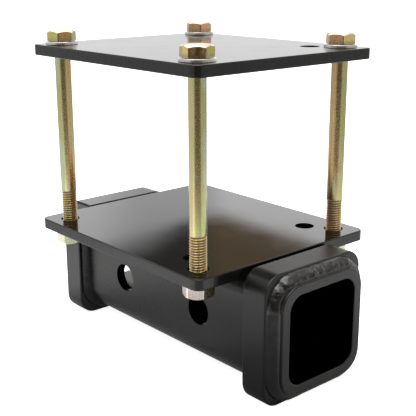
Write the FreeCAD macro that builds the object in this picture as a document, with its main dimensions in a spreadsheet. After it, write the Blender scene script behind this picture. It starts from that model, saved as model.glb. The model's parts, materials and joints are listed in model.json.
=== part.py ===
import FreeCAD, Part
import math
import os
import Sketcher

# Bumper hitch receiver: a square receiver tube with a collar welded round each end, a drilled plate
# welded on top of it, and a second plate that four long bolts draw down over a bumper.
# It stands on its collars with Z up. Y runs along the tube, and the mouth that takes the shank is at -Y.

# Driving dimensions, in millimetres
sizes = [
    ("tube_outer", 65.0, "outside of the square tube"),
    ("tube_wall", 6.1, "wall of the tube"),
    ("tube_corner", 13.3, "outside radius of the tube's corners"),
    ("bore_corner", 9.2, "inside radius of the tube's corners"),
    ("mouth_edge", 0.8, "rounding of the tube's cut ends"),
    ("pin_hole", 17.9, "diameter of the cross holes for the hitch pin"),
    ("pin_spacing", 73.3, "distance between the two pin holes along the tube"),
    ("collar_wall", 6.1, "wall of the collars"),
    ("collar_length", 17.4, "collar along the tube"),
    ("collar_corner", 11.3, "outside radius of the collars' corners"),
    ("collar_edge", 1.0, "rounding of the collars' outer edges"),
    ("collar_inset", 7.2, "tube end standing out of its collar"),
    ("collar_gap", 2.9, "space between the plate's end and the collar"),
    ("collar_clearance", 0.1, "slip fit of the collars on the tube"),
    ("plate_width", 136.0, "plates across the tube"),
    ("plate_length", 156.0, "plates along the tube"),
    ("plate_thickness", 6.5, "thickness of both plates"),
    ("plate_corner", 5.5, "corner radius of the plates"),
    ("plate_edge", 0.6, "rounding of the plates' edges"),
    ("plate_gap", 104.4, "clear height between the plates"),
    ("bolt_edge_x", 12.9, "bolts in from the plates' sides"),
    ("bolt_edge_y", 14.5, "bolts in from the plates' ends"),
    ("bolt_hole", 11.8, "diameter of the bolt holes"),
    ("spare_step_x", 9.6, "spare holes for a narrower bumper, in from the front bolts across the tube"),
    ("spare_step_y", 15.2, "spare holes in from the front bolts along the tube"),
    ("bolt_thread", 9.75, "outside diameter of the bolt thread"),
    ("bolt_shank", 9.7, "diameter of the plain shank"),
    ("bolt_tip", 0.6, "bolt standing out below its nut"),
    ("tip_chamfer", 1.0, "bevel of the bolt's tip"),
    ("thread_length", 35.6, "threaded end of the bolt"),
    ("thread_runout", 0.8, "taper from the shank to the thread"),
    ("head_flats", 15.75, "bolt head across its flats"),
    ("head_height", 6.6, "height of the bolt head"),
    ("washer_outer", 19.5, "outside diameter of the washers"),
    ("washer_hole", 10.6, "hole of the washers"),
    ("washer_thickness", 1.8, "thickness of the washers"),
    ("washer_edge", 0.3, "rolled edge of the washers"),
    ("nut_flats", 15.75, "nuts across their flats"),
    ("nut_height", 9.0, "height of the nuts"),
    ("nut_clearance", 0.05, "running fit of the thread in the nut"),
    ("nut_mouth", 0.7, "countersink at each end of the nut's bore"),
    ("corner_bevel", 30.0, "bevel of hexagon corners, in degrees"),
    ("weld_leg", 5.1, "outer collar weld up the collar's face"),
    ("weld_run", 5.9, "outer collar weld along the tube"),
    ("weld_toe", 0.5, "thickness of the weld where it ends"),
    ("inner_leg", 4.3, "inner collar weld up the collar's face"),
    ("inner_run", 4.9, "inner collar weld along the tube"),
    ("inner_stop", 2.0, "inner collar weld stopping below the plate"),
    ("seam_root", 4.1, "plate weld starting out from the tube's flat"),
    ("seam_width", 7.2, "plate weld across the plate"),
    ("seam_slope", 1.6, "plate weld's face leaning in"),
    ("seam_margin", 3.1, "plate weld stopping short of the plate's ends"),
]

# Corners of the bolt pattern: name, side along X, side along Y, turn of the head and of the nut in degrees
corners = [
    ("front_left", -1, -1, 18.0, 6.5),
    ("front_right", 1, -1, 51.0, 40.0),
    ("rear_left", -1, 1, 43.0, 25.0),
    ("rear_right", 1, 1, 58.0, 12.0),
]

doc = FreeCAD.newDocument("bumper_hitch_receiver")
sheet = doc.addObject("Spreadsheet::Sheet", "Sizes")
for row, (alias, size, note) in enumerate(sizes, start=1):
    sheet.set(f"A{row}", note)
    sheet.set(f"B{row}", str(size))
    sheet.setAlias(f"B{row}", alias)
doc.recompute()

# Shares that keep a form in proportion when its size changes
weld_crown = 0.72
bevel_face = 0.91
bevel_reach = 1.1

# Lengths, heights and offsets worked out from the driving dimensions
tube_length = "(Sizes.plate_length + 2 * (Sizes.collar_gap + Sizes.collar_length + Sizes.collar_inset))"
bolt_x = "(Sizes.plate_width / 2 - Sizes.bolt_edge_x)"
bolt_y = "(Sizes.plate_length / 2 - Sizes.bolt_edge_y)"
spare_x = f"({bolt_x} - Sizes.spare_step_x)"
spare_y = f"({bolt_y} - Sizes.spare_step_y)"
tube_half = "Sizes.tube_outer / 2"
collar_bore = "(Sizes.tube_outer + 2 * Sizes.collar_clearance)"
collar_outer = f"({collar_bore} + 2 * Sizes.collar_wall)"
axis_height = f"({collar_outer} / 2)"
tube_top = f"({axis_height} + {tube_half})"
lower_top = f"({tube_top} + Sizes.plate_thickness)"
upper_bottom = f"({lower_top} + Sizes.plate_gap)"
upper_top = f"({upper_bottom} + Sizes.plate_thickness)"
head_seat = f"({upper_top} + Sizes.washer_thickness)"
nut_bottom = f"({tube_top} - Sizes.nut_height)"
bolt_length = f"({head_seat} - {nut_bottom} + Sizes.bolt_tip)"
collar_face = f"({tube_length} / 2 - Sizes.collar_inset)"
collar_back = f"({collar_face} - Sizes.collar_length)"
flat_half = f"({tube_half} - Sizes.tube_corner)"


def value(expression):
    return float(sheet.evalExpression(expression))


def origin_plane(body, role):
    return next(item for item in body.Origin.OriginFeatures if item.Role == role)


def new_body(name):
    body = doc.addObject("PartDesign::Body", name)
    body.Label = name
    return body


def new_sketch(body, name, role):
    sketch = body.newObject("Sketcher::SketchObject", name)
    sketch.AttachmentSupport = [(origin_plane(body, role), "")]
    sketch.MapMode = "FlatFace"
    return sketch


def dimension(sketch, kind, points, expression):
    index = sketch.addConstraint(Sketcher.Constraint(kind, *points, value(expression)))
    label = f"size{index}"
    sketch.renameConstraint(index, label)
    sketch.setExpression(f"Constraints.{label}", expression)


def rounded_rectangle(sketch, width, height, radius):
    # Lines and corner arcs run anticlockwise from the lower side, centred on the sketch origin
    x = value(width) / 2
    y = value(height) / 2
    r = value(radius)
    normal = FreeCAD.Vector(0, 0, 1)
    first = sketch.GeometryCount
    ends = [(r - x, -y, x - r, -y), (x, r - y, x, y - r), (x - r, y, r - x, y), (-x, y - r, -x, r - y)]
    centres = [(x - r, r - y), (x - r, y - r), (r - x, y - r), (r - x, r - y)]
    for side in range(4):
        x0, y0, x1, y1 = ends[side]
        sketch.addGeometry(Part.LineSegment(FreeCAD.Vector(x0, y0, 0), FreeCAD.Vector(x1, y1, 0)))
        circle = Part.Circle(FreeCAD.Vector(*centres[side], 0), normal, r)
        start = (side - 1) * math.pi / 2
        sketch.addGeometry(Part.ArcOfCircle(circle, start, start + math.pi / 2))
    for step in range(8):
        joint = (first + step, 2, first + (step + 1) % 8, 1)
        sketch.addConstraint(Sketcher.Constraint("Tangent", *joint))
    for side in (0, 4):
        sketch.addConstraint(Sketcher.Constraint("Horizontal", first + side))
        sketch.addConstraint(Sketcher.Constraint("Vertical", first + side + 2))
    for arc in (3, 5, 7):
        sketch.addConstraint(Sketcher.Constraint("Equal", first + 1, first + arc))
    sketch.addConstraint(Sketcher.Constraint("Symmetric", first + 1, 3, first + 5, 3, -1, 1))
    dimension(sketch, "DistanceX", (first + 6, 1, first + 2, 1), width)
    dimension(sketch, "DistanceY", (first, 1, first + 4, 1), height)
    dimension(sketch, "Radius", (first + 1,), radius)


def place_point(sketch, point, x, y):
    # A coordinate of "0" puts the point on the axis
    for kind, axis, expression in (("DistanceX", -2, x), ("DistanceY", -1, y)):
        if expression == "0":
            sketch.addConstraint(Sketcher.Constraint("PointOnObject", *point, axis))
        else:
            dimension(sketch, kind, (-1, 1, *point), expression)


def round_hole(sketch, x, y, diameter):
    centre = FreeCAD.Vector(value(x), value(y), 0)
    circle = Part.Circle(centre, FreeCAD.Vector(0, 0, 1), value(diameter) / 2)
    index = sketch.addGeometry(circle)
    place_point(sketch, (index, 3), x, y)
    dimension(sketch, "Diameter", (index,), diameter)


def polygon(sketch, points):
    first = sketch.GeometryCount
    count = len(points)
    places = [FreeCAD.Vector(value(x), value(y), 0) for x, y in points]
    for step in range(count):
        sketch.addGeometry(Part.LineSegment(places[step], places[(step + 1) % count]))
    for step in range(count):
        meeting = (first + step, 2, first + (step + 1) % count, 1)
        sketch.addConstraint(Sketcher.Constraint("Coincident", *meeting))
    for step, (x, y) in enumerate(points):
        place_point(sketch, (first + step, 1), x, y)


def hexagon(sketch, flats):
    # Six equal sides on a construction circle, with one corner on the sketch's X axis
    radius = f"({flats}) / sqrt(3)"
    reach = value(radius)
    centre = FreeCAD.Vector(0, 0, 0)
    ring = sketch.addGeometry(Part.Circle(centre, FreeCAD.Vector(0, 0, 1), reach), True)
    sketch.addConstraint(Sketcher.Constraint("Coincident", ring, 3, -1, 1))
    dimension(sketch, "Radius", (ring,), radius)
    turns = [step * math.pi / 3 for step in range(7)]
    places = [FreeCAD.Vector(reach * math.cos(turn), reach * math.sin(turn), 0) for turn in turns]
    first = sketch.GeometryCount
    for step in range(6):
        sketch.addGeometry(Part.LineSegment(places[step], places[step + 1]))
    for step in range(6):
        meeting = (first + step, 2, first + (step + 1) % 6, 1)
        sketch.addConstraint(Sketcher.Constraint("Coincident", *meeting))
        sketch.addConstraint(Sketcher.Constraint("PointOnObject", first + step, 1, ring))
    for step in range(1, 5):
        sketch.addConstraint(Sketcher.Constraint("Equal", first, first + step))
    sketch.addConstraint(Sketcher.Constraint("PointOnObject", first, 1, -1))


def pad(body, sketch, length, symmetric=False):
    feature = body.newObject("PartDesign::Pad", f"{sketch.Name}_pad")
    feature.Profile = sketch
    feature.setExpression("Length", length)
    if symmetric:
        feature.SideType = "Symmetric"
    doc.recompute()
    return feature


def cut_through(body, sketch):
    before = body.Shape.Volume
    feature = body.newObject("PartDesign::Pocket", f"{sketch.Name}_cut")
    feature.Profile = sketch
    feature.Type = "ThroughAll"
    feature.SideType = "Symmetric"
    doc.recompute()
    if body.Shape.Volume >= before:
        raise RuntimeError(f"{feature.Label} cuts nothing")
    return feature


def turned(body, sketch, kind):
    feature = body.newObject(f"PartDesign::{kind}", f"{sketch.Name}_{kind.lower()}")
    feature.Profile = sketch
    feature.ReferenceAxis = (sketch, ["V_Axis"])
    feature.Angle = 360
    doc.recompute()
    return feature


def soften(body, base, kind, size, wanted):
    # Rounds or bevels the edges that the test picks out
    names = [f"Edge{n}" for n, edge in enumerate(base.Shape.Edges, start=1) if wanted(edge)]
    feature = body.newObject(f"PartDesign::{kind}", f"{base.Name}_{kind.lower()}")
    feature.Base = (base, names)
    feature.setExpression("Radius" if kind == "Fillet" else "Size", size)
    doc.recompute()
    return feature


def place(body, x="0", y="0", z="0", turn=0.0):
    body.Placement = FreeCAD.Placement(FreeCAD.Vector(), FreeCAD.Rotation(FreeCAD.Vector(0, 0, 1), turn))
    for axis, expression in (("x", x), ("y", y), ("z", z)):
        if expression != "0":
            body.setExpression(f"Placement.Base.{axis}", expression)


def on_end(edge, axis, reach):
    places = [getattr(vertex.Point, axis) for vertex in edge.Vertexes]
    return all(abs(abs(place) - reach) < 0.001 for place in places)


def receiver_tube():
    body = new_body("receiver_tube")
    section = new_sketch(body, "tube_section", "XZ_Plane")
    rounded_rectangle(section, "Sizes.tube_outer", "Sizes.tube_outer", "Sizes.tube_corner")
    opening = "Sizes.tube_outer - 2 * Sizes.tube_wall"
    rounded_rectangle(section, opening, opening, "Sizes.bore_corner")
    shell = pad(body, section, tube_length, symmetric=True)
    reach = value(tube_length) / 2
    soften(body, shell, "Fillet", "Sizes.mouth_edge", lambda edge: on_end(edge, "y", reach))
    holes = new_sketch(body, "tube_pin_holes", "YZ_Plane")
    for side in ("-", ""):
        round_hole(holes, f"{side}Sizes.pin_spacing / 2", "0", "Sizes.pin_hole")
    cut_through(body, holes)
    place(body, z=axis_height)
    return body


def collar(name, side):
    body = new_body(name)
    section = new_sketch(body, f"{name}_section", "XZ_Plane")
    bore_radius = "Sizes.tube_corner + Sizes.collar_clearance"
    rounded_rectangle(section, collar_outer, collar_outer, "Sizes.collar_corner")
    rounded_rectangle(section, collar_bore, collar_bore, bore_radius)
    ring = pad(body, section, "Sizes.collar_length", symmetric=True)
    reach = value("Sizes.collar_length / 2")
    bore = value(f"{collar_bore} / 2") + 0.001

    def outer_edge(edge):
        box = edge.BoundBox
        outside = max(abs(box.XMin), abs(box.XMax), abs(box.ZMin), abs(box.ZMax)) > bore
        return outside and on_end(edge, "y", reach)

    soften(body, ring, "Fillet", "Sizes.collar_edge", outer_edge)
    middle = f"({collar_face} - Sizes.collar_length / 2)"
    place(body, y=f"{side} * {middle}", z=axis_height)
    return body


def collar_weld(name, leg, run, turn, y, stop=None):
    # A fillet bead round the tube: three outlines shrink from the collar's face to the tube
    body = new_body(name)
    crown = ("crown", f"{leg} * {weld_crown}", f"{run} / 2")
    stations = [("face", leg, "0"), crown, ("toe", "Sizes.weld_toe", run)]
    outlines = []
    for station, height, along in stations:
        outline = new_sketch(body, f"{name}_{station}", "XZ_Plane")
        outline.setExpression("AttachmentOffset.Base.z", along)
        across = f"Sizes.tube_outer + 2 * {height}"
        rounded_rectangle(outline, across, across, f"Sizes.tube_corner + {height}")
        outlines.append(outline)
    bead = body.newObject("PartDesign::AdditiveLoft", f"{name}_bead")
    bead.Profile = outlines[0]
    bead.Sections = outlines[1:]
    bead.Ruled = True
    doc.recompute()
    bore = new_sketch(body, f"{name}_bore", "XZ_Plane")
    rounded_rectangle(bore, "Sizes.tube_outer", "Sizes.tube_outer", "Sizes.tube_corner")
    cut_through(body, bore)
    if stop:
        top = new_sketch(body, f"{name}_stop", "XZ_Plane")
        wide = f"Sizes.tube_outer / 2 + 2 * {leg}"
        low = f"{tube_half} - {stop}"
        polygon(top, [(f"-({wide})", low), (wide, low), (wide, wide), (f"-({wide})", wide)])
        cut_through(body, top)
    place(body, y=y, z=axis_height, turn=turn)
    return body


def clamp_plate(name, z):
    body = new_body(name)
    outline = new_sketch(body, f"{name}_outline", "XY_Plane")
    rounded_rectangle(outline, "Sizes.plate_width", "Sizes.plate_length", "Sizes.plate_corner")
    slab = pad(body, outline, "Sizes.plate_thickness")
    thickness = value("Sizes.plate_thickness")

    def rim(edge):
        heights = [vertex.Point.z for vertex in edge.Vertexes]
        return max(heights) - min(heights) < thickness / 2

    soften(body, slab, "Fillet", "Sizes.plate_edge", rim)
    holes = new_sketch(body, f"{name}_holes", "XY_Plane")
    for corner, side_x, side_y, head_turn, nut_turn in corners:
        round_hole(holes, f"{side_x} * {bolt_x}", f"{side_y} * {bolt_y}", "Sizes.bolt_hole")
    for side in ("-", ""):
        round_hole(holes, f"{side}{spare_x}", f"-{spare_y}", "Sizes.bolt_hole")
    cut_through(body, holes)
    place(body, z=z)
    return body


def plate_weld(name, side):
    # Fills the groove between the plate's underside and the tube's rounded shoulder
    body = new_body(name)
    groove = new_sketch(body, f"{name}_section", "XZ_Plane")
    root = f"({flat_half} + Sizes.seam_root)"
    edge = f"({root} + Sizes.seam_width)"
    foot = f"({edge} - Sizes.seam_slope)"
    low = f"({tube_half} - Sizes.tube_corner / 2)"
    points = [(root, tube_half), (edge, tube_half), (foot, low), (root, low)]
    polygon(groove, [(f"{side} * {x}", z) for x, z in points])
    pad(body, groove, "Sizes.plate_length - 2 * Sizes.seam_margin", symmetric=True)
    bore = new_sketch(body, f"{name}_bore", "XZ_Plane")
    rounded_rectangle(bore, "Sizes.tube_outer", "Sizes.tube_outer", "Sizes.tube_corner")
    cut_through(body, bore)
    place(body, z=axis_height)
    return body


def corner_bevels(body, name, flats, levels):
    # Cuts the hexagon's corners back to a cone: each level is a height and the side it faces
    reach = f"({flats} / sqrt(3) * {bevel_reach})"
    face = f"({flats} / 2 * {bevel_face})"
    drop = f"(({reach} - {face}) * tan(Sizes.corner_bevel * 1deg))"
    sketch = new_sketch(body, f"{name}_bevels", "XZ_Plane")
    for height, facing in levels:
        edge = drop if height == "0" else f"{height} - {facing} * {drop}"
        polygon(sketch, [(face, height), (reach, height), (reach, edge)])
    before = body.Shape.Volume
    turned(body, sketch, "Groove")
    if body.Shape.Volume >= before:
        raise RuntimeError(f"{name} corners stay uncut")


def bolt(name, side_x, side_y, turn):
    # The underside of the head is at the bolt's own origin
    body = new_body(f"bolt_{name}")
    profile = new_sketch(body, f"bolt_{name}_profile", "XZ_Plane")
    shank = "Sizes.bolt_shank / 2"
    thread = "Sizes.bolt_thread / 2"
    thread_start = f"-({bolt_length} - Sizes.thread_length)"
    points = [
        ("0", "0"),
        (shank, "0"),
        (shank, thread_start),
        (thread, f"{thread_start} - Sizes.thread_runout"),
        (thread, f"-({bolt_length} - Sizes.tip_chamfer)"),
        (f"{thread} - Sizes.tip_chamfer", f"-{bolt_length}"),
        ("0", f"-{bolt_length}"),
    ]
    polygon(profile, points)
    turned(body, profile, "Revolution")
    head = new_sketch(body, f"bolt_{name}_head", "XY_Plane")
    hexagon(head, "Sizes.head_flats")
    pad(body, head, "Sizes.head_height")
    corner_bevels(body, f"bolt_{name}", "Sizes.head_flats", [("Sizes.head_height", 1)])
    place(body, f"{side_x} * {bolt_x}", f"{side_y} * {bolt_y}", head_seat, turn)
    return body


def washer(name, side_x, side_y):
    body = new_body(f"washer_{name}")
    ring = new_sketch(body, f"washer_{name}_ring", "XY_Plane")
    round_hole(ring, "0", "0", "Sizes.washer_outer")
    round_hole(ring, "0", "0", "Sizes.washer_hole")
    disc = pad(body, ring, "Sizes.washer_thickness")
    outside = value("Sizes.washer_outer / 2")

    def rim(edge):
        round_edge = isinstance(edge.Curve, Part.Circle)
        return round_edge and abs(edge.Curve.Radius - outside) < 0.001

    soften(body, disc, "Fillet", "Sizes.washer_edge", rim)
    place(body, f"{side_x} * {bolt_x}", f"{side_y} * {bolt_y}", upper_top)
    return body


def nut(name, side_x, side_y, turn):
    body = new_body(f"nut_{name}")
    outline = new_sketch(body, f"nut_{name}_outline", "XY_Plane")
    hexagon(outline, "Sizes.nut_flats")
    pad(body, outline, "Sizes.nut_height")
    corner_bevels(body, f"nut_{name}", "Sizes.nut_flats", [("0", -1), ("Sizes.nut_height", 1)])
    bore = new_sketch(body, f"nut_{name}_bore", "XY_Plane")
    bore_size = "(Sizes.bolt_thread + 2 * Sizes.nut_clearance)"
    round_hole(bore, "0", "0", bore_size)
    cut = cut_through(body, bore)
    mouth = value(f"{bore_size} / 2")

    def bore_end(edge):
        round_edge = isinstance(edge.Curve, Part.Circle)
        return round_edge and abs(edge.Curve.Radius - mouth) < 0.001

    soften(body, cut, "Chamfer", "Sizes.nut_mouth", bore_end)
    place(body, f"{side_x} * {bolt_x}", f"{side_y} * {bolt_y}", nut_bottom, turn)
    return body


pieces = [receiver_tube()]
pieces.append(collar("front_collar", -1))
pieces.append(collar("rear_collar", 1))
outer = ("Sizes.weld_leg", "Sizes.weld_run")
inner = ("Sizes.inner_leg", "Sizes.inner_run")
stop = "Sizes.inner_stop"
pieces.append(collar_weld("front_collar_outer_weld", *outer, 0, f"-{collar_face}"))
pieces.append(collar_weld("rear_collar_outer_weld", *outer, 180, collar_face))
pieces.append(collar_weld("front_collar_inner_weld", *inner, 180, f"-{collar_back}", stop))
pieces.append(collar_weld("rear_collar_inner_weld", *inner, 0, collar_back, stop))
pieces.append(clamp_plate("lower_plate", tube_top))
pieces.append(clamp_plate("upper_plate", upper_bottom))
pieces.append(plate_weld("plate_weld_left", -1))
pieces.append(plate_weld("plate_weld_right", 1))
for corner, side_x, side_y, head_turn, nut_turn in corners:
    pieces.append(bolt(corner, side_x, side_y, head_turn))
    pieces.append(washer(corner, side_x, side_y))
    pieces.append(nut(corner, side_x, side_y, nut_turn))
doc.recompute()

for item in doc.Objects:
    if "Invalid" in item.State or "Error" in item.State:
        raise RuntimeError(f"{item.Label} did not build: {item.State}")
for piece in pieces:
    if piece.Shape.isNull() or not piece.Shape.isValid() or len(piece.Shape.Solids) != 1:
        raise RuntimeError(f"{piece.Label} is not one sound solid")

os.makedirs("parts", exist_ok=True)
for piece in pieces:
    piece.Shape.exportStep(f"parts/{piece.Label}.step")
    print(piece.Label, round(piece.Shape.Volume, 1))
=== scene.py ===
import json
import math

import bmesh
import bpy
from mathutils import Matrix, Vector, noise


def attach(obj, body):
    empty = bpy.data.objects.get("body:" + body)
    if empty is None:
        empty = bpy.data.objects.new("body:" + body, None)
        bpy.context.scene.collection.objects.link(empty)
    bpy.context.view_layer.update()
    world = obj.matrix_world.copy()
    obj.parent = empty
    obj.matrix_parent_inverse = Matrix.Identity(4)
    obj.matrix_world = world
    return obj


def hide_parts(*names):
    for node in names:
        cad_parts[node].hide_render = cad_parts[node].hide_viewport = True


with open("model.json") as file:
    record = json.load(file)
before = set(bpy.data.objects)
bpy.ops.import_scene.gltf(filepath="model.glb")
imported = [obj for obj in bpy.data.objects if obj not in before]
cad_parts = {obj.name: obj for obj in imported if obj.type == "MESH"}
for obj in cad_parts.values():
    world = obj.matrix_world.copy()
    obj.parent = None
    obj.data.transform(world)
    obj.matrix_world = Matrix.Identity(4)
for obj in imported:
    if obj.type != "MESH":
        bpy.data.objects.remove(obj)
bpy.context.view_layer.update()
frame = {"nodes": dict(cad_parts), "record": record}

scene = bpy.context.scene
mm = 0.001
print("frame loaded:", len(frame["nodes"]), "nodes")


# meshes from rings of points

def skinRings(name, rings, joinEnds=False, sharpAngle=32.0):
    # every ring has the same number of points; ends are joined into a loop or capped
    count = len(rings[0])
    build = bmesh.new()
    rows = [[build.verts.new(point) for point in ring] for ring in rings]
    pairs = list(zip(rows, rows[1:]))
    if joinEnds:
        pairs.append((rows[-1], rows[0]))
    for lower, upper in pairs:
        for i in range(count):
            j = (i + 1) % count
            build.faces.new((lower[i], lower[j], upper[j], upper[i]))
    if not joinEnds:
        build.faces.new(list(reversed(rows[0])))
        build.faces.new(rows[-1])
    bmesh.ops.recalc_face_normals(build, faces=build.faces)
    mesh = bpy.data.meshes.new(name)
    build.to_mesh(mesh)
    build.free()
    mesh.polygons.foreach_set("use_smooth", [True] * len(mesh.polygons))
    mesh.set_sharp_from_angle(angle=math.radians(sharpAngle))
    piece = bpy.data.objects.new(name, mesh)
    scene.collection.objects.link(piece)
    return piece


def standFor(piece, node, material):
    piece.data.materials.append(material)
    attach(piece, bodyOf[node])
    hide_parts(node)


def clamp01(x):
    return min(1.0, max(0.0, x))


def easeStep(low, high, x):
    t = clamp01((x - low) / (high - low))
    return t * t * (3 - 2 * t)


def mixValue(a, b, t):
    return a + (b - a) * t


bodyOf = {}
for bodyName, members in frame["record"]["behaviour"]["bodies"].items():
    for member in members:
        bodyOf[member] = bodyName


# shader nodes

def addNode(tree, kind, settings=None, **inputs):
    # inputs go by their names on the node, or by their places as in0, in1
    node = tree.nodes.new(kind)
    for key, setting in (settings or {}).items():
        setattr(node, key, setting)
    for key, given in inputs.items():
        byPlace = key.startswith("in") and key[2:].isdigit()
        socket = node.inputs[int(key[2:]) if byPlace else key.replace("_", " ")]
        if isinstance(given, bpy.types.NodeSocket):
            tree.links.new(given, socket)
        else:
            socket.default_value = given
    return node


def newGroup(name, inputs, outputs):
    tree = bpy.data.node_groups.new(name, "ShaderNodeTree")
    for label, start in inputs.items():
        socket = tree.interface.new_socket(label, in_out="INPUT", socket_type="NodeSocketFloat")
        socket.default_value = start
    for label in outputs:
        tree.interface.new_socket(label, in_out="OUTPUT", socket_type="NodeSocketFloat")
    return tree, tree.nodes.new("NodeGroupInput").outputs, tree.nodes.new("NodeGroupOutput").inputs


def placeGroup(tree, group, **inputs):
    return addNode(tree, "ShaderNodeGroup", {"node_tree": group}, **inputs).outputs


def math2(tree, operation, a, b):
    return addNode(tree, "ShaderNodeMath", {"operation": operation}, in0=a, in1=b).outputs[0]


def plus(tree, a, b):
    return math2(tree, "ADD", a, b)


def minus(tree, a, b):
    return math2(tree, "SUBTRACT", a, b)


def times(tree, a, b):
    return math2(tree, "MULTIPLY", a, b)


def sizeOf(tree, a):
    return math2(tree, "ABSOLUTE", a, 0.0)


def vectorMath(tree, operation, *given):
    inputs = {f"in{i}": value for i, value in enumerate(given)}
    node = addNode(tree, "ShaderNodeVectorMath", {"operation": operation}, **inputs)
    return node.outputs["Value" if operation in ("DOT_PRODUCT", "LENGTH") else "Vector"]


def levelPart(tree, vector):
    return vectorMath(tree, "MULTIPLY", vector, (1, 1, 0))


def stretch(tree, vector, scale):
    return addNode(tree, "ShaderNodeMapping", Vector=vector, Scale=scale).outputs["Vector"]


def split(tree, vector):
    return addNode(tree, "ShaderNodeSeparateXYZ", Vector=vector).outputs


def grainNoise(tree, place, scale, detail, roughness):
    node = addNode(tree, "ShaderNodeTexNoise", Vector=place, Scale=scale, Detail=detail, Roughness=roughness)
    return node.outputs["Fac"]


def objectPlace(tree):
    return addNode(tree, "ShaderNodeTexCoord").outputs["Object"]


def faceNormal(tree):
    return split(tree, addNode(tree, "ShaderNodeNewGeometry").outputs["True Normal"])


def addBump(tree, strength, depth, height, **inputs):
    node = addNode(tree, "ShaderNodeBump", Strength=strength, Distance=depth, Height=height, **inputs)
    return node.outputs["Normal"]


def ramp(tree, factor, stops):
    node = addNode(tree, "ShaderNodeValToRGB", Fac=factor)
    elements = node.color_ramp.elements
    while len(elements) < len(stops):
        elements.new(0.5)
    for element, (place, colour) in zip(elements, stops):
        element.position = place
        element.color = (*colour, 1.0)
    return node.outputs["Color"]


def mapRange(tree, value, low, high, toLow=0.0, toHigh=1.0, kind="LINEAR"):
    settings = {"interpolation_type": kind}
    node = addNode(tree, "ShaderNodeMapRange", settings, in0=value, in1=low, in2=high, in3=toLow, in4=toHigh)
    return node.outputs[0]


def fade(tree, value, low, high, toLow=0.0, toHigh=1.0):
    return mapRange(tree, value, low, high, toLow, toHigh, "SMOOTHSTEP")


def blendValue(tree, share, under, over):
    return mapRange(tree, share, 0.0, 1.0, under, over)


def blendColour(tree, share, under, over):
    under, over = ((*c, 1.0) if isinstance(c, tuple) else c for c in (under, over))
    return addNode(tree, "ShaderNodeMix", {"data_type": "RGBA"}, in0=share, in6=under, in7=over).outputs[2]


def evenGrey(tone):
    return (tone, tone, tone)


# surface effects that several finishes share
# noises are scale, detail and roughness, or the last two where the finish gives the scale

noiseMiddle = 0.5
grainLook = {
    "peel": (2.0, 0.55), "nibs": (2600.0, 1.0, 0.5), "nibShare": 0.25,
    "patches": (38.0, 3.0, 0.6), "spreadShare": 2.0,
}
cutLook = {"stretch": (1.0, 1.0, 0.04), "marks": (2.0, 0.6), "upright": (0.25, 0.05)}
bloomLook = {
    "squeeze": (1.0, 1.0, 0.3), "drift": (3.0, 0.55), "draw": (1.0, 1.0, 0.02),
    "streaks": (1500.0, 2.0, 0.6), "specks": (2200.0, 2.0, 0.7),
}


def makeCoatGrain():
    # sprayed powder: orange peel, fine dust nibs and patches that cured a little duller
    starts = {"Peel Scale": 700.0, "Roughness": 0.3, "Spread": 0.06}
    tree, source, sink = newGroup("coatGrain", starts, ["Height", "Roughness", "Tone"])
    place = objectPlace(tree)
    peel = grainNoise(tree, place, source["Peel Scale"], *grainLook["peel"])
    nibs = grainNoise(tree, place, *grainLook["nibs"])
    patches = grainNoise(tree, place, *grainLook["patches"])
    spread = times(tree, minus(tree, patches, noiseMiddle), source["Spread"])
    rough = plus(tree, source["Roughness"], times(tree, spread, grainLook["spreadShare"]))
    tree.links.new(plus(tree, peel, times(tree, nibs, grainLook["nibShare"])), sink["Height"])
    tree.links.new(rough, sink["Roughness"])
    tree.links.new(patches, sink["Tone"])
    return tree


def makeCutEdge():
    # upright saw marks on faces that stand vertical, faded out on the flat sides
    tree, source, sink = newGroup("cutEdge", {"Mark Scale": 520.0}, ["Height", "Mask"])
    stretched = stretch(tree, objectPlace(tree), cutLook["stretch"])
    marks = grainNoise(tree, stretched, source["Mark Scale"], *cutLook["marks"])
    mask = mapRange(tree, sizeOf(tree, faceNormal(tree)["Z"]), *cutLook["upright"])
    tree.links.new(times(tree, marks, mask), sink["Height"])
    tree.links.new(mask, sink["Mask"])
    return tree


def makePlatingBloom():
    # chromate film: slow drifts of hue, streaks along the part and tiny dull specks
    starts = {"Drift Scale": 90.0, "Streak": 1.0, "Shift": 0.0}
    tree, source, sink = newGroup("platingBloom", starts, ["Drift", "Streaks", "Specks"])
    shift = addNode(tree, "ShaderNodeCombineXYZ", X=source["Shift"], Y=source["Shift"]).outputs[0]
    moved = vectorMath(tree, "ADD", objectPlace(tree), shift)
    drift = grainNoise(tree, stretch(tree, moved, bloomLook["squeeze"]), source["Drift Scale"], *bloomLook["drift"])
    streaks = grainNoise(tree, stretch(tree, moved, bloomLook["draw"]), *bloomLook["streaks"])
    specks = grainNoise(tree, moved, *bloomLook["specks"])
    tree.links.new(drift, sink["Drift"])
    tree.links.new(times(tree, streaks, source["Streak"]), sink["Streaks"])
    tree.links.new(specks, sink["Specks"])
    return tree


coatGrain = makeCoatGrain()
cutEdge = makeCutEdge()
platingBloom = makePlatingBloom()


def startMaterial(name):
    material = bpy.data.materials.new(name)
    material.use_nodes = True
    tree = material.node_tree
    return material, tree, tree.nodes["Principled BSDF"].inputs


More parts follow.
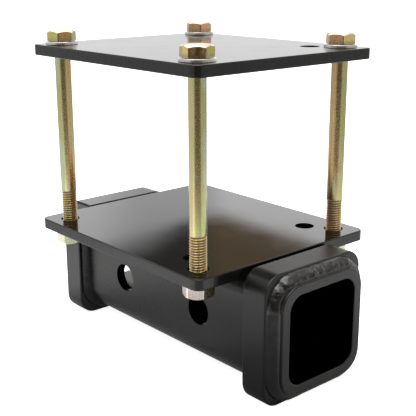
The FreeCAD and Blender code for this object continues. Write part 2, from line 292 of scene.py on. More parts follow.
coatLook = {
    "dark": (0.0035, 0.0035, 0.0036), "light": (0.0055, 0.0054, 0.0052), "tones": (0.3, 0.7),
    "spread": 0.05, "peelDepth": 0.0004, "markScale": 520.0, "markDepth": 0.0008, "cutRoughness": 0.12, "ior": 1.5,
}
coats = {  # peel is the orange peel's strength, marks that of the saw marks on cut edges
    "lowerCoat": {"roughness": 0.05, "peelScale": 700.0, "peel": 0.012, "marks": 0.06, "gloss": 0.5},
    "upperCoat": {"roughness": 0.12, "peelScale": 700.0, "peel": 0.012, "marks": 0.25, "gloss": 0.5},
    "rearCollarCoat": {"roughness": 0.10, "peelScale": 700.0, "peel": 0.012, "marks": 0.0, "gloss": 0.5},
    "frontCollarCoat": {"roughness": 0.34, "peelScale": 620.0, "peel": 0.035, "marks": 0.0, "gloss": 0.5},
    "tubeCoat": {"roughness": 0.28, "peelScale": 620.0, "peel": 0.035, "marks": 0.0, "gloss": 0.5},
    "weldCoat": {"roughness": 0.23, "peelScale": 900.0, "peel": 0.035, "marks": 0.0, "gloss": 0.72},
    "innerWeldCoat": {"roughness": 0.23, "peelScale": 900.0, "peel": 0.035, "marks": 0.0, "gloss": 0.33},
}
boreShadeLook = {  # places in metres
    "axis": 0.0387, "rim": (0.0268, 0.0265), "endFacing": (0.6, 0.3),
    "pinHole": 0.0095, "pinReach": 0.06, "pinFacing": 0.3,
    # painted shade: the socket's inside and its pin holes are near black
    "roughness": 0.18, "colour": (0.0008, 0.0008, 0.0008),
    # painted light: a grey patch on the bore's floor in the rear mouth
    "litPatchRun": (0.055, 0.075), "litPatchCorner": (0.026, 0.034), "litPatchColour": (0.30, 0.30, 0.29),
}


def paintBoreShadeAndLight(tree, shader, colour, rough):
    # the socket and its pin holes get a painted shade, near black and shining only at a glancing look; a painted
    # light patch brightens the floor in the rear mouth
    place, facing = split(tree, objectPlace(tree)), faceNormal(tree)
    rise = sizeOf(tree, minus(tree, place["Z"], boreShadeLook["axis"]))
    reach = math2(tree, "MAXIMUM", sizeOf(tree, place["X"]), rise)
    offEnds = mapRange(tree, sizeOf(tree, facing["Y"]), *boreShadeLook["endFacing"])
    inside = times(tree, mapRange(tree, reach, *boreShadeLook["rim"]), offEnds)
    level = math2(tree, "LESS_THAN", rise, boreShadeLook["pinHole"])
    middle = math2(tree, "LESS_THAN", sizeOf(tree, place["Y"]), boreShadeLook["pinReach"])
    drilled = math2(tree, "LESS_THAN", sizeOf(tree, facing["X"]), boreShadeLook["pinFacing"])
    inside = math2(tree, "MAXIMUM", inside, times(tree, times(tree, level, middle), drilled))
    tree.links.new(inside, shader["Metallic"])
    # painted light on the bore's floor in the rear mouth, blended into the painted shade
    corner = plus(tree, minus(tree, place["X"], place["Z"]), boreShadeLook["axis"])
    litPatch = mapRange(tree, place["Y"], *boreShadeLook["litPatchRun"])
    litPatch = times(tree, litPatch, mapRange(tree, corner, *boreShadeLook["litPatchCorner"]))
    shadeWithLitPatch = blendColour(tree, litPatch, boreShadeLook["colour"], boreShadeLook["litPatchColour"])
    return blendColour(tree, inside, colour, shadeWithLitPatch), blendValue(tree, inside, rough, boreShadeLook["roughness"])


def makeCoat(name, look):
    material, tree, shader = startMaterial(name)
    scale, spread = look["peelScale"], coatLook["spread"]
    grain = placeGroup(tree, coatGrain, Peel_Scale=scale, Roughness=look["roughness"], Spread=spread)
    colour = ramp(tree, grain["Tone"], list(zip(coatLook["tones"], (coatLook["dark"], coatLook["light"]))))
    rough = grain["Roughness"]
    # the tube's coat gets painted shade inside the bore, with a painted light patch in the rear mouth
    if name == "tubeCoat":
        colour, rough = paintBoreShadeAndLight(tree, shader, colour, rough)
    normal = addBump(tree, look["peel"], coatLook["peelDepth"], grain["Height"])
    if look["marks"]:
        edge = placeGroup(tree, cutEdge, Mark_Scale=coatLook["markScale"])
        normal = addBump(tree, look["marks"], coatLook["markDepth"], edge["Height"], Normal=normal)
        rough = plus(tree, rough, times(tree, edge["Mask"], coatLook["cutRoughness"]))
    tree.links.new(colour, shader["Base Color"])
    tree.links.new(rough, shader["Roughness"])
    tree.links.new(normal, shader["Normal"])
    shader["IOR"].default_value = coatLook["ior"]
    shader["Specular IOR Level"].default_value = look["gloss"]
    return material


coatOf = {name: makeCoat(name, look) for name, look in coats.items()}

filmTints = {
    "gold": (0.97, 0.77, 0.33), "straw": (0.66, 0.58, 0.32), "olive": (0.56, 0.56, 0.25),
    "lime": (0.70, 0.64, 0.20), "mint": (0.60, 0.66, 0.45), "tan": (0.58, 0.41, 0.21),
    "amber": (0.80, 0.50, 0.22), "rose": (0.78, 0.52, 0.34), "copper": (0.96, 0.54, 0.31),
    "brown": (0.42, 0.26, 0.14), "pearl": (0.97, 0.93, 0.82), "blush": (0.95, 0.81, 0.73),
    "leaf": (0.77, 0.80, 0.53),
}
zincLook = {  # heights in metres above a head's seat
    "hueAndShadeLean": (0.75, -0.66, 0.0),  # the film thins towards this side, and painted reflection shade rides on it, so each flat and each side of the shank has its own hue and brightness
    "hueAndShadeLeanShare": 0.4, "driftShare": 1.6, "middle": 0.5, "stops": (0.12, 0.88),
    "boltDrift": 120.0, "nutDrift": 300.0, "nutShift": 0.2,
    "seat": (0.46, 0.42, 0.34),  # thin grey film on a head's flats just above the washer
    "seatHeight": (0.0030, 0.0014), "seatShare": 0.75, "blotch": 0.0024,
    # upward faces of a head get a painted highlight
    "topFacing": (0.2, 0.6), "highlightShare": 0.45, "headFoot": (-0.0004, -0.0002),
    "thread": (0.71, 0.48, 0.24), "threadShare": 0.5, "threadTop": (-0.0932, -0.0938), "threadDull": 0.20,
    "root": (0.34, 0.25, 0.16),  # painted shade: darker colour in the thread's roots
    "rootShadeRadius": (0.00466, 0.00408),
    "specks": (0.3, 0.75), "roughness": (0.16, 0.34), "streakBump": 0.08, "bumpDepth": 0.0003,
}
greyLook = {
    "drift": 160.0, "streak": 0.3, "shift": 0.31, "tones": (0.3, 0.7), "dark": (0.66, 0.66, 0.64),
    "light": (0.86, 0.86, 0.83), "specks": (0.3, 0.75), "roughness": (0.24, 0.40), "bump": 0.12, "bumpDepth": 0.0003,
}


def filmStops(tints):
    return [(mixValue(*zincLook["stops"], i / (len(tints) - 1)), filmTints[tint]) for i, tint in enumerate(tints)]


def headColour(tree, hue, specks, height, upward, tints):
    # grey where the head meets its washer, with a painted highlight: upward faces blended towards pale pearl
    blotch = plus(tree, height, times(tree, minus(tree, specks, noiseMiddle), zincLook["blotch"]))
    seat = mapRange(tree, blotch, *zincLook["seatHeight"], 0.0, zincLook["seatShare"])
    head = blendColour(tree, seat, ramp(tree, hue, filmStops(tints)), zincLook["seat"])
    top = mapRange(tree, upward, *zincLook["topFacing"], 0.0, zincLook["highlightShare"])
    return blendColour(tree, top, head, filmTints["pearl"])


def makeYellowZinc(name, shift, driftScale, tints, headTints=None):
    material, tree, shader = startMaterial(name)
    film = placeGroup(tree, platingBloom, Drift_Scale=driftScale, Streak=1.0, Shift=shift)
    place = addNode(tree, "ShaderNodeTexCoord").outputs
    # painted reflection shade: the hue, and with it the brightness, follows which way each face turns
    hueAndShadeLean = times(tree, vectorMath(tree, "DOT_PRODUCT", place["Normal"], zincLook["hueAndShadeLean"]), zincLook["hueAndShadeLeanShare"])
    drift = times(tree, minus(tree, film["Drift"], noiseMiddle), zincLook["driftShare"])
    hue = plus(tree, plus(tree, hueAndShadeLean, drift), zincLook["middle"])
    height = split(tree, place["Object"])["Z"]
    colour = ramp(tree, hue, filmStops(tints))
    if headTints:
        upward = split(tree, place["Normal"])["Z"]
        head = headColour(tree, hue, film["Specks"], height, upward, headTints)
        colour = blendColour(tree, mapRange(tree, height, *zincLook["headFoot"]), colour, head)
    thread = mapRange(tree, height, *zincLook["threadTop"])
    colour = blendColour(tree, times(tree, thread, zincLook["threadShare"]), colour, zincLook["thread"])
    radius = vectorMath(tree, "LENGTH", levelPart(tree, place["Object"]))
    # painted shade in the thread's roots
    root = times(tree, thread, mapRange(tree, radius, *zincLook["rootShadeRadius"]))
    rough = mapRange(tree, film["Specks"], *zincLook["specks"], *zincLook["roughness"])
    rough = plus(tree, rough, times(tree, thread, zincLook["threadDull"]))
    normal = addBump(tree, zincLook["streakBump"], zincLook["bumpDepth"], film["Streaks"])
    tree.links.new(blendColour(tree, root, colour, zincLook["root"]), shader["Base Color"])
    tree.links.new(rough, shader["Roughness"])
    tree.links.new(normal, shader["Normal"])
    shader["Metallic"].default_value = 1.0
    return material


def makeGreyZinc():
    material, tree, shader = startMaterial("greyZinc")
    drift, streak, shift = (greyLook[key] for key in ("drift", "streak", "shift"))
    film = placeGroup(tree, platingBloom, Drift_Scale=drift, Streak=streak, Shift=shift)
    stops = list(zip(greyLook["tones"], (greyLook["dark"], greyLook["light"])))
    rough = mapRange(tree, film["Specks"], *greyLook["specks"], *greyLook["roughness"])
    tree.links.new(ramp(tree, film["Drift"], stops), shader["Base Color"])
    tree.links.new(rough, shader["Roughness"])
    tree.links.new(addBump(tree, greyLook["bump"], greyLook["bumpDepth"], film["Specks"]), shader["Normal"])
    shader["Metallic"].default_value = 1.0
    return material


greyZinc = makeGreyZinc()
print("materials made")

nodeCoats = {
    "lower_plate": "lowerCoat", "upper_plate": "upperCoat",
    "rear_collar": "rearCollarCoat", "front_collar": "frontCollarCoat",
}
for nodeName, piece in frame["nodes"].items():
    coat = coatOf[nodeCoats.get(nodeName, "tubeCoat")]
    piece.data.materials.clear()
    piece.data.materials.append(greyZinc if nodeName.startswith("washer") else coat)


# bolts and nuts

corners = {  # place of each bolt, how far its head and nut are turned in degrees, and its films; the tints run across the faces by which way they face, with painted reflection shade in their lighter and darker steps
    "front_left": {
        "x": -55.1, "y": -63.5, "headTurn": 18.0, "nutTurn": 6.5, "shift": 0.0,
        "tints": ("straw", "straw", "olive", "mint"),
        "headTints": ("gold", "gold", "brown", "brown", "lime"),
        "nutTints": ("pearl", "blush", "pearl", "straw"),
    },
    "front_right": {
        "x": 55.1, "y": -63.5, "headTurn": 51.0, "nutTurn": 40.0, "shift": 0.043,
        "tints": ("tan", "tan", "straw", "olive"),
        "headTints": ("copper", "copper", "gold", "gold"),
        "nutTints": ("leaf", "mint", "leaf"),
    },
    "rear_left": {
        "x": -55.1, "y": 63.5, "headTurn": 43.0, "nutTurn": 25.0, "shift": 0.091,
        "tints": ("mint", "olive", "straw", "amber"),
        "headTints": ("lime", "lime", "amber", "mint"),
        "nutTints": ("blush", "leaf", "leaf", "pearl"),
    },
    "rear_right": {
        "x": 55.1, "y": 63.5, "headTurn": 58.0, "nutTurn": 12.0, "shift": 0.137,
        "tints": ("rose", "rose", "tan", "rose"),
        "headTints": ("rose", "amber", "copper", "copper"),
        "nutTints": ("straw", "pearl", "blush"),
    },
}
boltShape = {  # millimetres
    "seat": 190.4, "length": 128.8, "shank": 4.85, "thread": 4.875, "threadLength": 35.6, "pitch": 1.5,
    "depth": 0.85, "tipBevel": 1.0, "tipInset": 0.6, "flats": 15.75, "headHeight": 6.6,
    "collarFace": 0.4, "faceBevel": 0.15, "neckHeight": 0.5, "neckWidth": 0.25,
    "rowsPerTurn": 10, "shankRows": 12,
}
threadForm = {"rootFlat": 0.125, "flank": 0.3125, "runOut": 1.3}  # shares of the pitch
nutShape = {"bottom": 62.2, "height": 9.0, "flats": 15.75, "bore": 4.925, "mouth": 0.7}  # millimetres
hexShape = {  # shares of half the flats, the corner bevel's slope in degrees and its edge in millimetres
    "washerFace": 0.96, "bevelFace": 0.91, "crown": 0.84, "slope": 30.0, "edge": 0.1,
}
hexSteps = (-29.1, -25, -19, -12.5, -6, 0, 6, 12.5, 19, 25, 29.1)  # degrees either side of a flat's middle
hexAngles = [math.radians(60 * side + 30 + step) for side in range(6) for step in hexSteps]


def hexRadius(angle, flats):
    local = (math.degrees(angle) % 60) - 30
    return flats / 2 / math.cos(math.radians(local))


def bevelDrop(angle, flats):
    # how far the corner bevel cuts down the hexagon's side at this angle
    over = hexRadius(angle, flats) - flats / 2 * hexShape["bevelFace"]
    return max(0.0, over) * math.tan(math.radians(hexShape["slope"]))


def circleRing(radius, z):
    return [Vector((radius * math.cos(a), radius * math.sin(a), z)) for a in hexAngles]


def threadRing(z, top, bottom):
    s = boltShape
    ring = []
    for a in hexAngles:
        u = abs(((z / s["pitch"] - a / (2 * math.pi)) % 1.0) - 0.5)  # 0.5 at a crest
        cut = 1 - clamp01((u - threadForm["rootFlat"]) / threadForm["flank"])
        shown = easeStep(0.0, threadForm["runOut"] * s["pitch"], top - z)  # run-out under the shank
        radius = mixValue(s["shank"], s["thread"] - s["depth"] * cut, shown)
        radius = min(radius, s["thread"] - s["tipBevel"] + (z - bottom))  # bevelled tip
        ring.append(Vector((radius * math.cos(a), radius * math.sin(a), z)))
    return ring


def hexRing(flats, heightAt):
    ring = []
    for a in hexAngles:
        radius = hexRadius(a, flats)
        ring.append(Vector((radius * math.cos(a), radius * math.sin(a), heightAt(a))))
    return ring


def placePiece(name, rings, spec, z, turn, joinEnds=False):
    # the mesh stays about the bolt's own axis; the object carries the place
    spin = Matrix.Rotation(math.radians(turn), 3, "Z")
    piece = skinRings(name, [[(spin @ point) * mm for point in ring] for ring in rings], joinEnds)
    piece.location = Vector((spec["x"], spec["y"], z)) * mm
    return piece


def makeBolt(corner, spec, material):
    s, flats = boltShape, boltShape["flats"]
    bottom, top = -s["length"], -s["length"] + s["threadLength"]
    rows = int(round(s["threadLength"] / s["pitch"] * s["rowsPerTurn"]))
    face = flats / 2 * hexShape["washerFace"]

    def sideTop(a):
        return s["headHeight"] - bevelDrop(a, flats) - hexShape["edge"]

    rings = [circleRing(s["thread"] - s["tipBevel"] - s["tipInset"], bottom)]
    rings += [threadRing(bottom + s["threadLength"] * i / rows, top, bottom) for i in range(rows + 1)]
    rings += [circleRing(s["shank"], mixValue(top, 0.0, i / s["shankRows"])) for i in range(1, s["shankRows"])]
    rings += [circleRing(s["shank"], -s["neckHeight"]), circleRing(s["shank"] + s["neckWidth"], 0.0)]
    rings += [circleRing(face - s["faceBevel"], 0.0), circleRing(face, s["faceBevel"])]
    rings += [circleRing(face, s["collarFace"]), hexRing(flats, lambda a: s["collarFace"])]
    rings += [hexRing(flats, lambda a: s["collarFace"] + s["faceBevel"])]
    rings += [hexRing(flats, lambda a: mixValue(s["collarFace"], sideTop(a), 0.5)), hexRing(flats, sideTop)]
    rings += [circleRing(flats / 2 * hexShape[part], s["headHeight"]) for part in ("bevelFace", "crown")]
    piece = placePiece("visual_bolt_" + corner, rings, spec, s["seat"], spec["headTurn"])
    standFor(piece, "bolt_" + corner, material)


def makeNut(corner, spec, material):
    s, flats, height = nutShape, nutShape["flats"], nutShape["height"]
    face, mouth = flats / 2 * hexShape["bevelFace"], s["bore"] + s["mouth"]
    rings = [circleRing(s["bore"], s["mouth"]), circleRing(mouth, 0.0), circleRing(face, 0.0)]
    rings += [hexRing(flats, lambda a: bevelDrop(a, flats) + hexShape["edge"])]
    rings += [hexRing(flats, lambda a: height - bevelDrop(a, flats) - hexShape["edge"])]
    rings += [circleRing(face, height), circleRing(mouth, height), circleRing(s["bore"], height - s["mouth"])]
    piece = placePiece("visual_nut_" + corner, rings, spec, s["bottom"], spec["nutTurn"], joinEnds=True)
    standFor(piece, "nut_" + corner, material)


for corner, spec in corners.items():
    shift, films = spec["shift"], (spec["tints"], spec["headTints"])
    makeBolt(corner, spec, makeYellowZinc("boltZinc_" + corner, shift, zincLook["boltDrift"], *films))
    shift += zincLook["nutShift"]
    makeNut(corner, spec, makeYellowZinc("nutZinc_" + corner, shift, zincLook["nutDrift"], spec["nutTints"]))
print("bolts and nuts made")


# weld beads, in millimetres

tubeShape = {"half": 32.5, "corner": 13.3, "axis": 38.7}
collarFaces = {"outer": 98.3, "inner": 80.9}
beadLook = {  # calm is how much of the unevenness is left on the side and lower runs
    "outer": {"leg": 5.2, "run": 5.7, "ripple": 0.05, "lump": 0.66, "wave": 2.9, "calm": 0.2},
    "inner": {"leg": 4.2, "run": 4.7, "ripple": 0.12, "lump": 0.4, "wave": 2.5, "calm": 0.6},
    "seam": {"ripple": 0.18, "lump": 0.45, "wave": 2.6},
}
beadNoise = {  # how often each unevenness comes, a millimetre, and how strong it is
    "wobble": 0.11, "wobbleReach": 1.4, "swell": 0.16, "swellShare": 0.5,
    "lump": 0.24, "fleck": 1.25, "fleckShare": 0.55,
    "wobbleRow": 0.3, "swellRow": 0.9, "swellSeed": 5.0,  # keep the two noises apart
}
beadForm = {
    "spacing": 0.5, "steps": 12, "root": 0.15, "flatShare": 0.35, "legSwell": 0.5, "runSwell": 0.7,
    "topRun": (0.15, 0.8), "innerStop": 2.0, "sharpAngle": 50.0,
}
nearDabs = [(203.5, 8.0, -1.2), (209.6, 2.4, -1.4), (214.8, 2.6, 0.6)]  # run, half width and rise at the near corner
seamForm = {
    "length": 149.8, "rings": 240, "start": 4.1, "width": 7.2, "root": 0.6, "footShare": 0.72, "steepest": 0.98,
    "endShare": 0.45, "endRun": 4.0, "steps": 6, "crown": 0.5, "crownWay": (1, 0, -0.4), "noiseStart": 90.0,
}


def tubeOutline(spacing):
    # points round the tube with their outward direction, clockwise from the top's middle seen from the front
    half, corner = tubeShape["half"], tubeShape["corner"]
    flat, arc = half - corner, math.pi / 2 * corner
    total = 8 * flat + 4 * arc
    steps = int(total / spacing)
    outline = []
    for i in range(steps):
        quarter, run = divmod(total * i / steps + 1e-9, total / 4)
        if run < flat:
            point, outward = Vector((run, 0, half)), Vector((0, 0, 1))
        elif run < flat + arc:
            a = (run - flat) / corner
            outward = Vector((math.sin(a), 0, math.cos(a)))
            point = Vector((flat, 0, flat)) + outward * corner
        else:
            point, outward = Vector((half, 0, flat - (run - flat - arc))), Vector((1, 0, 0))
        spin = Matrix.Rotation(math.radians(90 * quarter), 3, "Y")
        outline.append((spin @ point, spin @ outward, total * i / steps))
    return outline


def beadSwell(run, look, seed):
    # ripples left by each step of the torch, with slower swells where it paused
    n = beadNoise
    wobble = noise.noise(Vector((run * n["wobble"], seed, n["wobbleRow"]))) * n["wobbleReach"]
    ripple = abs(math.sin(math.pi * (run + wobble) / look["wave"]))
    swell = noise.noise(Vector((run * n["swell"], seed + n["swellSeed"], n["swellRow"])))
    return look["ripple"] * (ripple - 0.5) + look["lump"] * n["swellShare"] * swell


def beadLump(point, look, seed):
    # uneven metal under the coat
    slow = noise.noise(point * beadNoise["lump"] + Vector((seed, 0, 0)))
    fleck = noise.noise(point * beadNoise["fleck"] + Vector((0, seed, 0)))
    return look["lump"] * (slow + beadNoise["fleckShare"] * fleck)


def beadRing(point, away, outward, leg, reach, look, seed, uneven):
    # a quarter round flattened towards a straight bevel, from the collar's face down to the tube
    steps, flatShare = beadForm["steps"], beadForm["flatShare"]
    ring = [point - away * beadForm["root"]]
    for i in range(steps + 1):
        a = math.pi / 2 * i / steps
        rise = mixValue(leg * math.cos(a), leg * (1 - i / steps), flatShare)
        along = mixValue(reach * math.sin(a), reach * i / steps, flatShare)
        spot = point + away * rise + Vector((0, outward * along, 0))
        lift = (away * math.cos(a) + Vector((0, outward * math.sin(a), 0))) * math.sin(2 * a)
        ring.append(spot + lift * beadLump(spot, look, seed) * uneven)
    return ring


def collarBead(node, kind, outward, faceSide, seed, finish, stopBelow=None, dabs=()):
    look, place = beadLook[kind], Vector((0, faceSide * collarFaces[kind], tubeShape["axis"]))
    rings = []
    for point, away, run in tubeOutline(beadForm["spacing"]):
        if stopBelow is not None and point.z > tubeShape["half"] - stopBelow:
            continue
        # the top run was laid in short dabs
        uneven = mixValue(look["calm"], 1.0, easeStep(*beadForm["topRun"], away.z))
        swell = beadSwell(run, look, seed) * uneven
        for centre, width, rise in dabs:
            swell += rise * max(0.0, 1 - ((run - centre) / width) ** 2) ** 2
        leg, reach = look["leg"] + swell * beadForm["legSwell"], look["run"] + swell * beadForm["runSwell"]
        ring = beadRing(point, away, outward, leg, reach, look, seed, uneven)
        rings.append([(p + place) * mm for p in ring])
    if stopBelow is not None:  # start where the bead starts, past the gap under the plate
        gaps = [(rings[i][0] - rings[i - 1][0]).length for i in range(len(rings))]
        first = gaps.index(max(gaps))
        rings = rings[first:] + rings[:first]
    piece = skinRings("visual_" + node, rings, joinEnds=stopBelow is None, sharpAngle=beadForm["sharpAngle"])
    standFor(piece, node, finish)


outerCoat, innerCoat, innerStop = coatOf["weldCoat"], coatOf["innerWeldCoat"], beadForm["innerStop"]
collarBead("front_collar_outer_weld", "outer", -1, -1, 1.0, outerCoat, dabs=nearDabs)
collarBead("rear_collar_outer_weld", "outer", 1, 1, 2.0, outerCoat)
collarBead("front_collar_inner_weld", "inner", 1, -1, 3.0, innerCoat, innerStop)
collarBead("rear_collar_inner_weld", "inner", -1, 1, 4.0, innerCoat, innerStop)


def seamBead(node, side, seed):
    # fills the flare groove between the plate's underside and the tube's round shoulder
    look, s, length = beadLook["seam"], seamForm, seamForm["length"]
    half, corner, flat = tubeShape["half"], tubeShape["corner"], tubeShape["half"] - tubeShape["corner"]
    crownWay = Vector(s["crownWay"]).normalized()
    rings = []
    for i in range(s["rings"] + 1):
        y = -length / 2 + length * i / s["rings"]
        swell = beadSwell(y + s["noiseStart"], look, seed)
        toEnd = min(y + length / 2, length / 2 - y)
        out = (s["width"] + swell) * mixValue(s["endShare"], 1.0, easeStep(0.0, s["endRun"], toEnd))
        brow = Vector((flat + s["start"] + out, y, half))
        a = math.asin(min(s["steepest"], (s["start"] + out * s["footShare"]) / corner))
        foot = Vector((flat + corner * math.sin(a), y, flat + corner * math.cos(a)))
        ring = [Vector((flat + s["start"], y, half - s["root"])), brow]
        for k in range(1, s["steps"]):
            t = k / s["steps"]
            ring.append(brow.lerp(foot, t) + crownWay * math.sin(math.pi * t) * (s["crown"] + swell * s["crown"]))
        ring.append(foot)
        rings.append([Vector((side * p.x, p.y, p.z + tubeShape["axis"])) * mm for p in ring])
    piece = skinRings("visual_" + node, rings, sharpAngle=beadForm["sharpAngle"])
    standFor(piece, node, outerCoat)


seamBead("plate_weld_left", -1, 6.0)
seamBead("plate_weld_right", 1, 8.0)
print("weld beads made")


# floor, light and camera

cameraView = {
    "azimuth": -41.210, "elevation": 15.993, "roll": -0.120, "distance": 0.53261,
    "target": (0.0, -0.00862, 0.08945), "lens": 74.065, "sensor": 36.0, "clip": (0.01, 100.0),
}
floorLook = {"size": 20.0, "segments": 8, "drop": 0.0002, "tone": 0.92, "roughness": 0.9, "gloss": 0.1, "glow": 0.9}
sheetLook = {  # painted reflection: the floor's colour as only reflections see it, bright close by, with painted shade under the part, a painted shadow of the camera, and darker far out, darkest ahead towards the camera
    "under": 0.42, "close": 0.88, "near": 1.15, "nearLeft": 0.62, "nearRight": 0.7, "left": 0.48, "right": 0.36,
    "front": (0.09, 0.07, 0.05), "cameraShade": 0.35, "underGlow": 0.24,
}
sheetReach = {  # distances from the part's middle, in metres
    "farFade": (0.36, 0.62), "frontFarFade": (0.39, 0.46), "close": (0.22, 0.32), "leftRise": (0.105, 0.16),
    "rightRise": (0.16, 0.25), "shade": (0.4, 0.3), "glow": (0.11, 0.05),
}
sheetWay = {  # share of the way towards the camera, or to its left
    "ahead": (0.74, 0.9), "shade": (0.8, 0.95), "far": (-0.8, 0.8), "nearRight": (-0.6, 0.1),
    "nearLeft": (0.65, 0.95), "rise": (-0.2, 0.6),
}
roomLook = {
    "tent": 0.8, "overhead": 1.55, "horizon": 1.03, "backdrop": 1.8, "wallBehind": 0.68, "wallLeft": 0.95,
    "ceilingLeft": (0.09, 0.085, 0.08), "ceilingRight": (0.33, 0.25, 0.15),
    "front": (0.12, 0.09, 0.06), "gap": (0.72, 0.71, 0.69),
}
ceilingShape = {  # how far out over how far up each edge lies, and the heights between which it shows
    "right": (2.345, 2.205), "rearTurn": (1.75, 2.05), "rear": (2.44, 2.53), "rearSoft": (0.2, 0.06),
    "lowest": 0.02, "top": (0.6, 0.42), "foot": (0.1, 0.2), "halves": (0.03, -0.02),
}
roomRise = {  # heights of a look, from level to straight up
    "wall": (0.05, 0.3), "wallDim": (0.15, 0.22), "frontTop": (0.6, 0.45),
    "gapFoot": (0.4, 0.5), "gapTop": (0.88, 0.76),
}
roomWay = {  # share of the way towards the camera, or to its left
    "behind": (-0.2, -0.8), "front": (0.72, 0.9), "gap": (-0.25, -0.5),
    "wallLeft": (0.07, 0.15), "wallDim": (-0.03, 0.015),
}
softbox = {"place": (-0.2, -0.1, 1.3), "aim": (0, 0, 0.1), "size": 1.1, "watts": 10.0}


def stageWays():
    # level directions from the part: towards the camera, and to the left as the camera sees it
    a = math.radians(cameraView["azimuth"])
    return (math.sin(a), -math.cos(a), 0), (-math.cos(a), -math.sin(a), 0)


def bearings(tree, way):
    return [vectorMath(tree, "DOT_PRODUCT", way, level) for level in stageWays()]


def greyColour(tree, tone):
    return addNode(tree, "ShaderNodeCombineColor", Red=tone, Green=tone, Blue=tone).outputs[0]


def paintedSheetReflection(tree, reach, toCamera, toLeft):
    ahead = fade(tree, toCamera, *sheetWay["ahead"])
    far = greyColour(tree, fade(tree, toLeft, *sheetWay["far"], sheetLook["right"], sheetLook["left"]))
    far = blendColour(tree, ahead, far, sheetLook["front"])
    farFades = [fade(tree, reach, *sheetReach[key]) for key in ("farFade", "frontFarFade")]
    farFade = blendValue(tree, ahead, *farFades)
    near = fade(tree, toLeft, *sheetWay["nearRight"], sheetLook["nearRight"], sheetLook["near"])
    near = fade(tree, toLeft, *sheetWay["nearLeft"], near, sheetLook["nearLeft"])
    near = fade(tree, reach, *sheetReach["close"], sheetLook["close"], near)
    rises = [fade(tree, reach, *sheetReach[key]) for key in ("rightRise", "leftRise")]
    # painted shade under the part: the sheet is dimmer close under it
    near = blendValue(tree, mapRange(tree, toLeft, *sheetWay["rise"], *rises), sheetLook["under"], near)
    shade = times(tree, fade(tree, toCamera, *sheetWay["shade"]), fade(tree, reach, *sheetReach["shade"]))
    near = times(tree, near, blendValue(tree, shade, 1.0, sheetLook["cameraShade"]))
    return blendColour(tree, farFade, greyColour(tree, near), far)


def makeFloor():
    build = bmesh.new()
    segments = floorLook["segments"]
    bmesh.ops.create_grid(build, x_segments=segments, y_segments=segments, size=floorLook["size"])
    mesh = bpy.data.meshes.new("floor")
    build.to_mesh(mesh)
    build.free()
    floor = bpy.data.objects.new("floor", mesh)
    floor.location.z = -floorLook["drop"]
    scene.collection.objects.link(floor)
    material, tree, shader = startMaterial("paleFloor")
    shader["Roughness"].default_value = floorLook["roughness"]
    shader["Specular IOR Level"].default_value = floorLook["gloss"]
    shader["Emission Color"].default_value = (1, 1, 1, 1)
    surface = addNode(tree, "ShaderNodeNewGeometry").outputs
    flat = levelPart(tree, surface["Position"])
    reach = vectorMath(tree, "LENGTH", flat)
    paintedReflection = paintedSheetReflection(tree, reach, *bearings(tree, vectorMath(tree, "NORMALIZE", flat)))
    ray = addNode(tree, "ShaderNodeLightPath").outputs
    # reflections see the painted sheet, other rays the even pale floor
    colour = blendColour(tree, ray["Is Glossy Ray"], evenGrey(floorLook["tone"]), paintedReflection)
    tree.links.new(colour, shader["Base Color"])
    glow = times(tree, ray["Is Camera Ray"], floorLook["glow"])  # the cut-out's clean white
    # painted light: close round the part the floor glows, for reflections only
    lift = fade(tree, reach, *sheetReach["glow"], 0.0, sheetLook["underGlow"])
    tree.links.new(plus(tree, glow, times(tree, ray["Is Glossy Ray"], lift)), shader["Emission Strength"])
    # nothing of the floor shows from below, so the underside can be looked at
    clear = addNode(tree, "ShaderNodeBsdfTransparent").outputs[0]
    solid = tree.nodes["Principled BSDF"].outputs[0]
    both = addNode(tree, "ShaderNodeMixShader", in0=surface["Backfacing"], in1=solid, in2=clear)
    tree.links.new(both.outputs[0], tree.nodes["Material Output"].inputs["Surface"])
    mesh.materials.append(material)


def darkCeiling(tree, way, height, toLeft):
    # the studio's ceiling ends at the tops of the white walls on the right and behind; a softbox hangs over the part
    parts = split(tree, way)
    upward = math2(tree, "MAXIMUM", height, ceilingShape["lowest"])
    across, along = (math2(tree, "DIVIDE", parts[axis], upward) for axis in "XY")
    rear = mapRange(tree, across, *ceilingShape["rearTurn"], *ceilingShape["rear"])
    soft = mapRange(tree, across, *ceilingShape["rearTurn"], *ceilingShape["rearSoft"])
    inside = math2(tree, "DIVIDE", minus(tree, rear, along), soft)
    share = times(tree, fade(tree, across, *ceilingShape["right"]), fade(tree, inside, -1.0, 1.0))
    share = times(tree, share, fade(tree, height, *ceilingShape["top"]))
    share = times(tree, share, mapRange(tree, height, *ceilingShape["foot"]))
    halves = fade(tree, toLeft, *ceilingShape["halves"])
    return share, blendColour(tree, halves, roomLook["ceilingLeft"], roomLook["ceilingRight"])


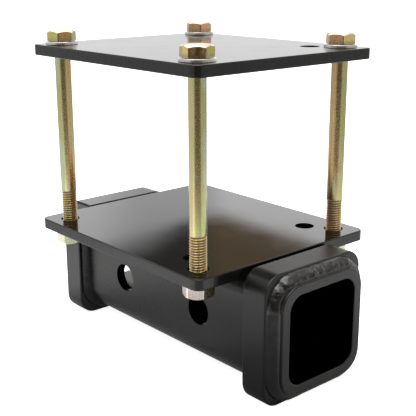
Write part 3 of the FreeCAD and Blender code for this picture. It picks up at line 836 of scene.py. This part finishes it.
def makeWorld():
    world = bpy.data.worlds.new("studio")
    scene.world = world
    world.use_nodes = True
    tree = world.node_tree
    back = tree.nodes["Background"].inputs
    way = addNode(tree, "ShaderNodeTexCoord").outputs["Generated"]
    height = split(tree, way)["Z"]
    toCamera, toLeft = bearings(tree, way)

    tones = {key: evenGrey(roomLook[key]) for key in ("tent", "overhead", "horizon", "backdrop")}
    white = ramp(tree, height, [(0.0, tones["tent"]), (1.0, tones["overhead"])])
    wall = ramp(tree, height, list(zip(roomRise["wall"], (tones["horizon"], tones["backdrop"]))))
    dim = fade(tree, toLeft, *roomWay["wallLeft"], roomLook["wallBehind"], roomLook["wallLeft"])
    dimmed = times(tree, fade(tree, toLeft, *roomWay["wallDim"]), mapRange(tree, height, *roomRise["wallDim"]))
    dim = blendValue(tree, dimmed, 1.0, dim)
    wall = addNode(tree, "ShaderNodeVectorMath", {"operation": "SCALE"}, in0=wall, Scale=dim).outputs["Vector"]
    sky = blendColour(tree, fade(tree, toCamera, *roomWay["behind"]), white, wall)  # lit walls behind the part
    band = times(tree, fade(tree, height, *roomRise["gapFoot"]), fade(tree, height, *roomRise["gapTop"]))
    gap = times(tree, band, fade(tree, toLeft, *roomWay["gap"]))  # duller room between wall and softbox
    sky = blendColour(tree, gap, sky, roomLook["gap"])
    front = times(tree, fade(tree, toCamera, *roomWay["front"]), fade(tree, height, *roomRise["frontTop"]))
    sky = blendColour(tree, front, sky, roomLook["front"])
    ceiling, dark = darkCeiling(tree, way, height, toLeft)
    sky = blendColour(tree, ceiling, sky, dark)
    eye = addNode(tree, "ShaderNodeLightPath").outputs["Is Camera Ray"]
    tree.links.new(blendColour(tree, eye, sky, (1, 1, 1)), back["Color"])
    back["Strength"].default_value = 1.0


def makeSoftbox():
    data = bpy.data.lights.new("topSoftbox", "AREA")
    data.shape = "RECTANGLE"
    data.size = data.size_y = softbox["size"]
    data.energy = softbox["watts"]
    lamp = bpy.data.objects.new("topSoftbox", data)
    lamp.location = softbox["place"]
    lamp.rotation_euler = (Vector(softbox["aim"]) - Vector(softbox["place"])).to_track_quat("-Z", "Y").to_euler()
    scene.collection.objects.link(lamp)


def makeCamera():
    a, e, r = (math.radians(cameraView[key]) for key in ("azimuth", "elevation", "roll"))
    back = Vector((math.sin(a) * math.cos(e), -math.cos(a) * math.cos(e), math.sin(e)))
    level = Vector((math.cos(a), math.sin(a), 0))
    upward = back.cross(level)
    right = level * math.cos(r) + upward * math.sin(r)
    up = upward * math.cos(r) - level * math.sin(r)
    data = bpy.data.cameras.new("camera")
    data.sensor_width = cameraView["sensor"]
    data.lens = cameraView["lens"]
    data.clip_start, data.clip_end = cameraView["clip"]
    camera = bpy.data.objects.new("camera", data)
    turn = Matrix((right, up, back)).transposed().to_4x4()
    camera.matrix_world = Matrix.Translation(Vector(cameraView["target"]) + back * cameraView["distance"]) @ turn
    scene.collection.objects.link(camera)
    scene.camera = camera


makeFloor()
makeWorld()
makeSoftbox()
makeCamera()
scene.view_settings.view_transform = "Standard"
print("studio made")
